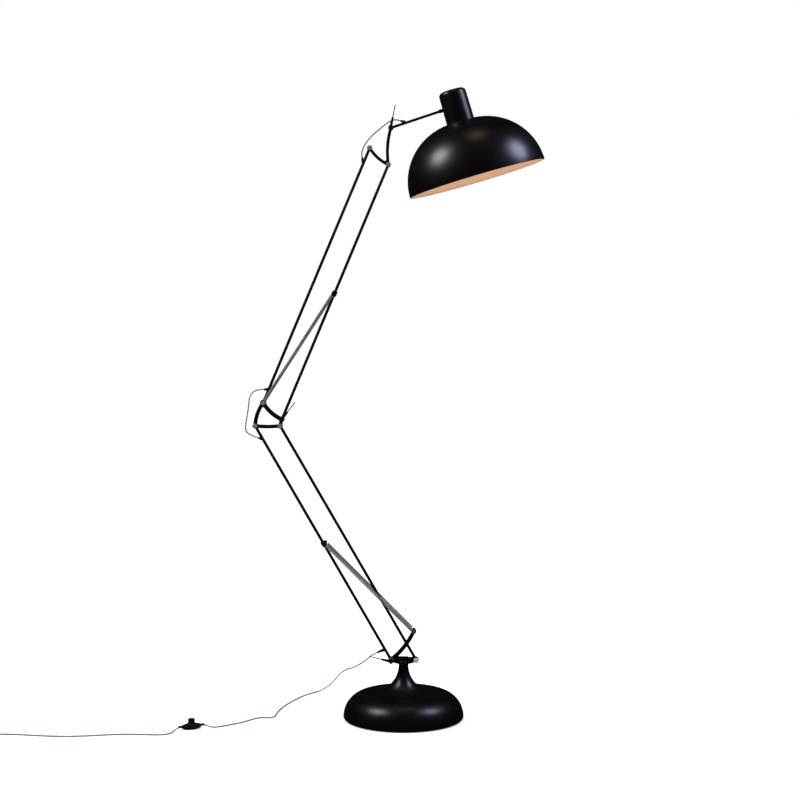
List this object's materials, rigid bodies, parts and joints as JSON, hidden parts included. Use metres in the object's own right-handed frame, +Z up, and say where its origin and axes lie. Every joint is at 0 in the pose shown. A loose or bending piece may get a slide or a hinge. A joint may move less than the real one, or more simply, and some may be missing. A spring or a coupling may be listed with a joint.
{
  "type": "adjustable arm floor lamp",
  "caption": "Tall floor lamp with a heavy round foot, two sprung parallel-bar arms and a tilting half-round shade, fed by a lead with a foot switch.",
  "frame": {"origin": "centre of the foot on the floor", "axes": "+Z up; +X towards the side that the head reaches to; the arms move in the plane y = 0"},
  "size_m": [1.7317, 0.6101, 1.8916],
  "materials": {
    "black_paint": "satin",
    "iron": "matte",
    "zinc": "satin",
    "screw_steel": "polished",
    "brass": "satin",
    "black_rubber": "matte",
    "black_plastic": "matte",
    "felt": "matte",
    "cord": "satin",
    "porcelain": "satin",
    "bulb": "gloss"
  },
  "bodies": {
    "base": {"base_shell": "black_paint", "base_weight": "iron", "base_cover_sheet": "zinc", "base_felt_pad": "felt", "base_screws": "zinc", "neck_bush": "black_plastic", "lead_to_floor": "cord", "lead_to_switch": "cord", "lead_past_switch": "cord", "switch_cover": "black_plastic", "switch_sole": "black_plastic", "lead_coil": "cord", "plug_body": "black_plastic", "plug_pins": "screw_steel", "switch_spring": "zinc"},
    "yoke": {"yoke_spindle": "black_paint", "spindle_nut": "zinc", "yoke_plates": "black_paint", "yoke_saddle_screws": "screw_steel", "yoke_pivot_screws": "screw_steel", "lower_spring_studs": "screw_steel", "lead_from_arm": "cord"},
    "yoke_lever": {"yoke_lever": "black_paint"},
    "lower_rear_bar": {"lower_rear_bar": "black_paint", "lower_rear_grommets": "black_rubber", "lower_rear_flex": "cord", "lower_spring_anchor": "black_paint"},
    "lower_front_bar": {"lower_front_bar": "black_paint"},
    "lower_springs": {"lower_springs": "zinc"},
    "lower_spring_tops": {"lower_spring_hooks": "zinc"},
    "elbow": {"elbow_plates": "black_paint", "elbow_pivot_screws": "screw_steel", "elbow_cord_lower": "cord", "elbow_cord_upper": "cord"},
    "elbow_lever": {"elbow_lever": "black_paint"},
    "upper_rear_bar": {"upper_rear_bar": "black_paint", "upper_rear_grommets": "black_rubber", "upper_rear_flex": "cord"},
    "upper_front_bar": {"upper_front_bar": "black_paint", "upper_spring_anchor": "black_paint"},
    "upper_springs": {"upper_springs": "zinc"},
    "upper_spring_tops": {"upper_spring_hooks": "zinc"},
    "head_bracket": {"head_plates": "black_paint", "head_pivot_screws": "screw_steel", "head_cord_lower": "cord", "head_cord_upper": "cord"},
    "head_lever": {"head_lever": "black_paint"},
    "head": {"head_rod": "black_paint", "rod_grommet": "black_rubber", "head_flex": "cord", "rod_collar": "black_paint", "head_cap": "black_paint", "head_bridge": "zinc", "holder_nut": "brass", "lampholder": "porcelain", "bulb_glass": "bulb", "bulb_cap": "screw_steel", "shade": "black_paint"},
    "switch_button": {"switch_button": "black_plastic"}
  },
  "joints": [
    {"name": "base_swivel", "type": "hinge", "parent": "base", "child": "yoke", "pos_m": [0, 0, 0.1], "axis": [0, 0, 1], "range_deg": [-90, 90], "deforming": ["lead_to_floor"]},
    {"name": "yoke_lever_turn", "type": "hinge", "parent": "yoke", "child": "yoke_lever", "pos_m": [-0.0375, 0, 0.175], "axis": [0, 1, 0], "range_deg": [-45, 45]},
    {"name": "lower_arm", "type": "hinge", "parent": "yoke", "child": "lower_rear_bar", "pos_m": [-0.0375, 0, 0.175], "axis": [0, 1, 0], "range_deg": [-8, 35], "deforming": ["lead_from_arm"]},
    {"name": "lower_front", "type": "hinge", "parent": "yoke", "child": "lower_front_bar", "pos_m": [0.0375, 0, 0.175], "axis": [0, 1, 0], "range_deg": [-9, 36]},
    {"name": "lower_spring_swing", "type": "hinge", "parent": "yoke", "child": "lower_springs", "pos_m": [0.031, 0, 0.261], "axis": [0, 1, 0], "range_deg": [-9.88, 39.85], "deforming": ["lower_springs"]},
    {"name": "lower_spring_stretch", "type": "slide", "parent": "lower_springs", "child": "lower_spring_tops", "axis": [-0.7097, 0, 0.7045], "range_m": [-0.06148, 0.01482], "deforming": ["lower_spring_hooks"]},
    {"name": "elbow_level", "type": "hinge", "parent": "lower_rear_bar", "child": "elbow", "pos_m": [-0.44484, 0, 0.87628], "axis": [0, 1, 0], "range_deg": [-36, 9], "deforming": ["elbow_cord_lower"]},
    {"name": "elbow_lever_turn", "type": "hinge", "parent": "elbow", "child": "elbow_lever", "pos_m": [-0.36494, 0, 0.89598], "axis": [0, 1, 0], "range_deg": [-45, 45]},
    {"name": "upper_arm", "type": "hinge", "parent": "elbow", "child": "upper_rear_bar", "pos_m": [-0.42094, 0, 0.94598], "axis": [0, 1, 0], "range_deg": [-12, 35], "deforming": ["elbow_cord_upper"]},
    {"name": "upper_front", "type": "hinge", "parent": "elbow", "child": "upper_front_bar", "pos_m": [-0.36494, 0, 0.89598], "axis": [0, 1, 0], "range_deg": [-13, 36]},
    {"name": "upper_spring_swing", "type": "hinge", "parent": "elbow", "child": "upper_springs", "pos_m": [-0.42094, 0, 0.94598], "axis": [0, 1, 0], "range_deg": [-12.88, 35.65], "deforming": ["upper_springs"]},
    {"name": "upper_spring_stretch", "type": "slide", "parent": "upper_springs", "child": "upper_spring_tops", "axis": [0.5406, 0, 0.8413], "range_m": [-0.01608, 0.04498], "deforming": ["upper_spring_hooks"]},
    {"name": "head_level", "type": "hinge", "parent": "upper_rear_bar", "child": "head_bracket", "pos_m": [-0.10141, 0, 1.70984], "axis": [0, 1, 0], "range_deg": [-36, 13], "deforming": ["head_cord_lower"]},
    {"name": "head_lever_turn", "type": "hinge", "parent": "head_bracket", "child": "head_lever", "pos_m": [-0.03791, 0, 1.77044], "axis": [0, 1, 0], "range_deg": [-45, 45]},
    {"name": "head_tilt", "type": "hinge", "parent": "head_bracket", "child": "head", "pos_m": [-0.03791, 0, 1.77044], "axis": [0, 1, 0], "range_deg": [-45, 15], "deforming": ["head_cord_upper"]},
    {"name": "switch_press", "type": "slide", "parent": "base", "child": "switch_button", "axis": [0, 0, -1], "range_m": [0, 0.0035], "stiffness_N_per_m": 600, "deforming": ["switch_spring"]}
  ],
  "couplings": [
    {"joint": "lower_front", "follows": "lower_arm", "ratio": 1},
    {"joint": "lower_spring_swing", "follows": "lower_arm", "ratio": 1.11},
    {"joint": "lower_spring_stretch", "follows": "lower_arm", "m_per_rad": -0.099},
    {"joint": "elbow_level", "follows": "lower_arm", "ratio": -1},
    {"joint": "upper_front", "follows": "upper_arm", "ratio": 1},
    {"joint": "upper_spring_swing", "follows": "upper_arm", "ratio": 0.99},
    {"joint": "upper_spring_stretch", "follows": "upper_arm", "m_per_rad": 0.072},
    {"joint": "head_level", "follows": "upper_arm", "ratio": -1}
  ]
}
